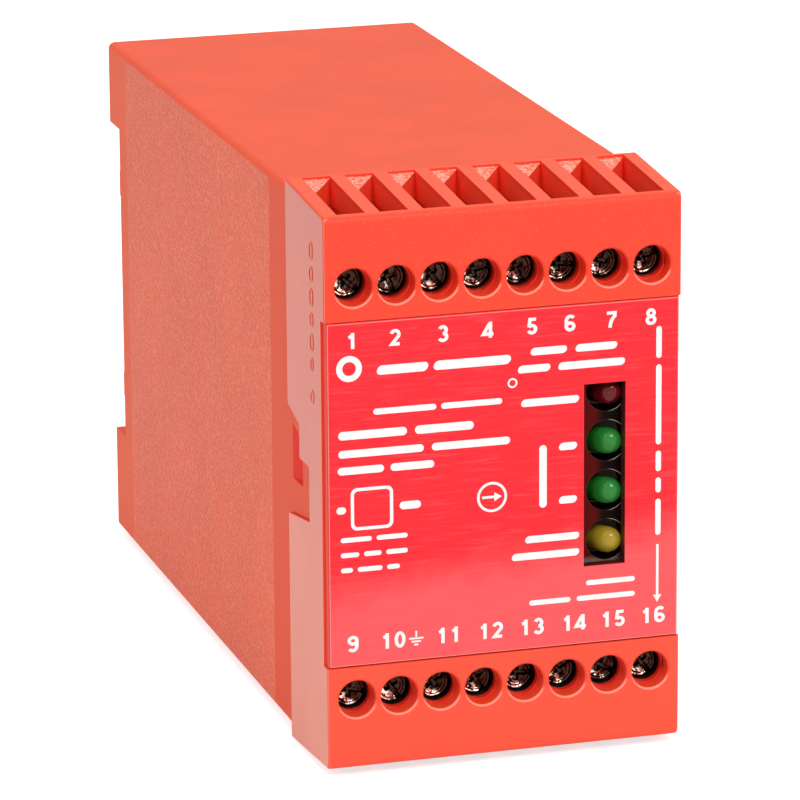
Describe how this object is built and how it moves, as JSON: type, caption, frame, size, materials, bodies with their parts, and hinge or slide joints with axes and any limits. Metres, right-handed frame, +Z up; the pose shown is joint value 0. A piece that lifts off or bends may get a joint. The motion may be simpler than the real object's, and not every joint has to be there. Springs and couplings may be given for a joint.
{
  "type": "safety relay",
  "caption": "Narrow deep control relay that clips on a 35 mm top-hat rail, with a row of screw terminals above and below its front plate and a column of status lamps.",
  "frame": {"origin": "centre of the base rectangle, at the height of the lowest edge of the terminal cover", "axes": "+Z up along the front plate, +Y from the front plate back towards the rail, +X to the right as seen from the front"},
  "size_m": [0.045, 0.1098, 0.0715],
  "materials": {
    "housing_plastic": "fine leather-like moulded grain",
    "cover_plastic": "fine moulded grain, smooth cheeks",
    "plate_plastic": "satin moulded",
    "label_film": "printed satin film",
    "holder_plastic": "dark red moulded",
    "led_red": "tinted lamp body, unlit",
    "led_green": "tinted lamp body",
    "led_yellow": "tinted lamp body",
    "board_laminate": "green solder mask",
    "connector_plastic": "moulded",
    "relay_case": "moulded case",
    "core_steel": "stacked sheet steel",
    "bobbin_plastic": "moulded",
    "winding_copper": "enamelled wire",
    "capacitor_can": "sleeved can",
    "varistor_coat": "dipped coating",
    "block_plastic": "moulded",
    "strip_copper": "tinned strip",
    "screw_nickel": "nickel plated",
    "clamp_steel": "plated",
    "spring_steel": "drawn wire",
    "latch_plastic": "moulded"
  },
  "bodies": {
    "housing": {"main_housing": "housing_plastic", "terminal_cover": "cover_plastic", "front_plate": "plate_plastic", "front_label": "label_film", "led_holder": "holder_plastic", "status_led_1": "led_red", "status_led_2": "led_green", "status_led_3": "led_green", "status_led_4": "led_yellow", "front_board": "board_laminate", "relay_board": "board_laminate", "power_board": "board_laminate", "board_connectors": "connector_plastic", "safety_relay_1": "relay_case", "safety_relay_2": "relay_case", "transformer_core": "core_steel", "transformer_bobbin": "bobbin_plastic", "transformer_winding": "winding_copper", "smoothing_capacitor": "capacitor_can", "varistor_disc": "varistor_coat", "upper_terminal_block": "block_plastic", "lower_terminal_block": "block_plastic", "upper_contact_strips": "strip_copper", "lower_contact_strips": "strip_copper", "latch_spring": "spring_steel"},
    "latch": {"rail_latch": "latch_plastic"},
    "screw_01": {"terminal_screw_01": "screw_nickel"},
    "cage_01": {"clamp_cage_01": "clamp_steel"},
    "screw_02": {"terminal_screw_02": "screw_nickel"},
    "cage_02": {"clamp_cage_02": "clamp_steel"},
    "screw_03": {"terminal_screw_03": "screw_nickel"},
    "cage_03": {"clamp_cage_03": "clamp_steel"},
    "screw_04": {"terminal_screw_04": "screw_nickel"},
    "cage_04": {"clamp_cage_04": "clamp_steel"},
    "screw_05": {"terminal_screw_05": "screw_nickel"},
    "cage_05": {"clamp_cage_05": "clamp_steel"},
    "screw_06": {"terminal_screw_06": "screw_nickel"},
    "cage_06": {"clamp_cage_06": "clamp_steel"},
    "screw_07": {"terminal_screw_07": "screw_nickel"},
    "cage_07": {"clamp_cage_07": "clamp_steel"},
    "screw_08": {"terminal_screw_08": "screw_nickel"},
    "cage_08": {"clamp_cage_08": "clamp_steel"},
    "screw_09": {"terminal_screw_09": "screw_nickel"},
    "cage_09": {"clamp_cage_09": "clamp_steel"},
    "screw_10": {"terminal_screw_10": "screw_nickel"},
    "cage_10": {"clamp_cage_10": "clamp_steel"},
    "screw_11": {"terminal_screw_11": "screw_nickel"},
    "cage_11": {"clamp_cage_11": "clamp_steel"},
    "screw_12": {"terminal_screw_12": "screw_nickel"},
    "cage_12": {"clamp_cage_12": "clamp_steel"},
    "screw_13": {"terminal_screw_13": "screw_nickel"},
    "cage_13": {"clamp_cage_13": "clamp_steel"},
    "screw_14": {"terminal_screw_14": "screw_nickel"},
    "cage_14": {"clamp_cage_14": "clamp_steel"},
    "screw_15": {"terminal_screw_15": "screw_nickel"},
    "cage_15": {"clamp_cage_15": "clamp_steel"},
    "screw_16": {"terminal_screw_16": "screw_nickel"},
    "cage_16": {"clamp_cage_16": "clamp_steel"}
  },
  "joints": [
    {"name": "latch_slide", "type": "slide", "parent": "housing", "child": "latch", "axis": [0, 0, -1], "range_m": [0, 0.003], "stiffness_N_per_m": 300, "springref_m": -0.003, "deforming": ["latch_spring"]},
    {"name": "screw_01_turn", "type": "hinge", "parent": "housing", "child": "screw_01", "pos_m": [-0.01878, -0.04785, 0.06145], "axis": [0, 1, 0], "range_deg": [0, 1800]},
    {"name": "cage_01_slide", "type": "slide", "parent": "housing", "child": "cage_01", "axis": [0, -1, 0], "range_m": [0, 0.0025]},
    {"name": "screw_02_turn", "type": "hinge", "parent": "housing", "child": "screw_02", "pos_m": [-0.01341, -0.04785, 0.06145], "axis": [0, 1, 0], "range_deg": [0, 1800]},
    {"name": "cage_02_slide", "type": "slide", "parent": "housing", "child": "cage_02", "axis": [0, -1, 0], "range_m": [0, 0.0025]},
    {"name": "screw_03_turn", "type": "hinge", "parent": "housing", "child": "screw_03", "pos_m": [-0.00805, -0.04785, 0.06145], "axis": [0, 1, 0], "range_deg": [0, 1800]},
    {"name": "cage_03_slide", "type": "slide", "parent": "housing", "child": "cage_03", "axis": [0, -1, 0], "range_m": [0, 0.0025]},
    {"name": "screw_04_turn", "type": "hinge", "parent": "housing", "child": "screw_04", "pos_m": [-0.00268, -0.04785, 0.06145], "axis": [0, 1, 0], "range_deg": [0, 1800]},
    {"name": "cage_04_slide", "type": "slide", "parent": "housing", "child": "cage_04", "axis": [0, -1, 0], "range_m": [0, 0.0025]},
    {"name": "screw_05_turn", "type": "hinge", "parent": "housing", "child": "screw_05", "pos_m": [0.00268, -0.04785, 0.06145], "axis": [0, 1, 0], "range_deg": [0, 1800]},
    {"name": "cage_05_slide", "type": "slide", "parent": "housing", "child": "cage_05", "axis": [0, -1, 0], "range_m": [0, 0.0025]},
    {"name": "screw_06_turn", "type": "hinge", "parent": "housing", "child": "screw_06", "pos_m": [0.00805, -0.04785, 0.06145], "axis": [0, 1, 0], "range_deg": [0, 1800]},
    {"name": "cage_06_slide", "type": "slide", "parent": "housing", "child": "cage_06", "axis": [0, -1, 0], "range_m": [0, 0.0025]},
    {"name": "screw_07_turn", "type": "hinge", "parent": "housing", "child": "screw_07", "pos_m": [0.01341, -0.04785, 0.06145], "axis": [0, 1, 0], "range_deg": [0, 1800]},
    {"name": "cage_07_slide", "type": "slide", "parent": "housing", "child": "cage_07", "axis": [0, -1, 0], "range_m": [0, 0.0025]},
    {"name": "screw_08_turn", "type": "hinge", "parent": "housing", "child": "screw_08", "pos_m": [0.01878, -0.04785, 0.06145], "axis": [0, 1, 0], "range_deg": [0, 1800]},
    {"name": "cage_08_slide", "type": "slide", "parent": "housing", "child": "cage_08", "axis": [0, -1, 0], "range_m": [0, 0.0025]},
    {"name": "screw_09_turn", "type": "hinge", "parent": "housing", "child": "screw_09", "pos_m": [-0.01878, -0.04785, 0.01], "axis": [0, 1, 0], "range_deg": [0, 1800]},
    {"name": "cage_09_slide", "type": "slide", "parent": "housing", "child": "cage_09", "axis": [0, -1, 0], "range_m": [0, 0.0025]},
    {"name": "screw_10_turn", "type": "hinge", "parent": "housing", "child": "screw_10", "pos_m": [-0.01341, -0.04785, 0.01], "axis": [0, 1, 0], "range_deg": [0, 1800]},
    {"name": "cage_10_slide", "type": "slide", "parent": "housing", "child": "cage_10", "axis": [0, -1, 0], "range_m": [0, 0.0025]},
    {"name": "screw_11_turn", "type": "hinge", "parent": "housing", "child": "screw_11", "pos_m": [-0.00805, -0.04785, 0.01], "axis": [0, 1, 0], "range_deg": [0, 1800]},
    {"name": "cage_11_slide", "type": "slide", "parent": "housing", "child": "cage_11", "axis": [0, -1, 0], "range_m": [0, 0.0025]},
    {"name": "screw_12_turn", "type": "hinge", "parent": "housing", "child": "screw_12", "pos_m": [-0.00268, -0.04785, 0.01], "axis": [0, 1, 0], "range_deg": [0, 1800]},
    {"name": "cage_12_slide", "type": "slide", "parent": "housing", "child": "cage_12", "axis": [0, -1, 0], "range_m": [0, 0.0025]},
    {"name": "screw_13_turn", "type": "hinge", "parent": "housing", "child": "screw_13", "pos_m": [0.00268, -0.04785, 0.01], "axis": [0, 1, 0], "range_deg": [0, 1800]},
    {"name": "cage_13_slide", "type": "slide", "parent": "housing", "child": "cage_13", "axis": [0, -1, 0], "range_m": [0, 0.0025]},
    {"name": "screw_14_turn", "type": "hinge", "parent": "housing", "child": "screw_14", "pos_m": [0.00805, -0.04785, 0.01], "axis": [0, 1, 0], "range_deg": [0, 1800]},
    {"name": "cage_14_slide", "type": "slide", "parent": "housing", "child": "cage_14", "axis": [0, -1, 0], "range_m": [0, 0.0025]},
    {"name": "screw_15_turn", "type": "hinge", "parent": "housing", "child": "screw_15", "pos_m": [0.01341, -0.04785, 0.01], "axis": [0, 1, 0], "range_deg": [0, 1800]},
    {"name": "cage_15_slide", "type": "slide", "parent": "housing", "child": "cage_15", "axis": [0, -1, 0], "range_m": [0, 0.0025]},
    {"name": "screw_16_turn", "type": "hinge", "parent": "housing", "child": "screw_16", "pos_m": [0.01878, -0.04785, 0.01], "axis": [0, 1, 0], "range_deg": [0, 1800]},
    {"name": "cage_16_slide", "type": "slide", "parent": "housing", "child": "cage_16", "axis": [0, -1, 0], "range_m": [0, 0.0025]}
  ],
  "couplings": [
    {"joint": "screw_01_turn", "follows": "cage_01_slide", "rad_per_m": 12566},
    {"joint": "screw_02_turn", "follows": "cage_02_slide", "rad_per_m": 12566},
    {"joint": "screw_03_turn", "follows": "cage_03_slide", "rad_per_m": 12566},
    {"joint": "screw_04_turn", "follows": "cage_04_slide", "rad_per_m": 12566},
    {"joint": "screw_05_turn", "follows": "cage_05_slide", "rad_per_m": 12566},
    {"joint": "screw_06_turn", "follows": "cage_06_slide", "rad_per_m": 12566},
    {"joint": "screw_07_turn", "follows": "cage_07_slide", "rad_per_m": 12566},
    {"joint": "screw_08_turn", "follows": "cage_08_slide", "rad_per_m": 12566},
    {"joint": "screw_09_turn", "follows": "cage_09_slide", "rad_per_m": 12566},
    {"joint": "screw_10_turn", "follows": "cage_10_slide", "rad_per_m": 12566},
    {"joint": "screw_11_turn", "follows": "cage_11_slide", "rad_per_m": 12566},
    {"joint": "screw_12_turn", "follows": "cage_12_slide", "rad_per_m": 12566},
    {"joint": "screw_13_turn", "follows": "cage_13_slide", "rad_per_m": 12566},
    {"joint": "screw_14_turn", "follows": "cage_14_slide", "rad_per_m": 12566},
    {"joint": "screw_15_turn", "follows": "cage_15_slide", "rad_per_m": 12566},
    {"joint": "screw_16_turn", "follows": "cage_16_slide", "rad_per_m": 12566}
  ]
}
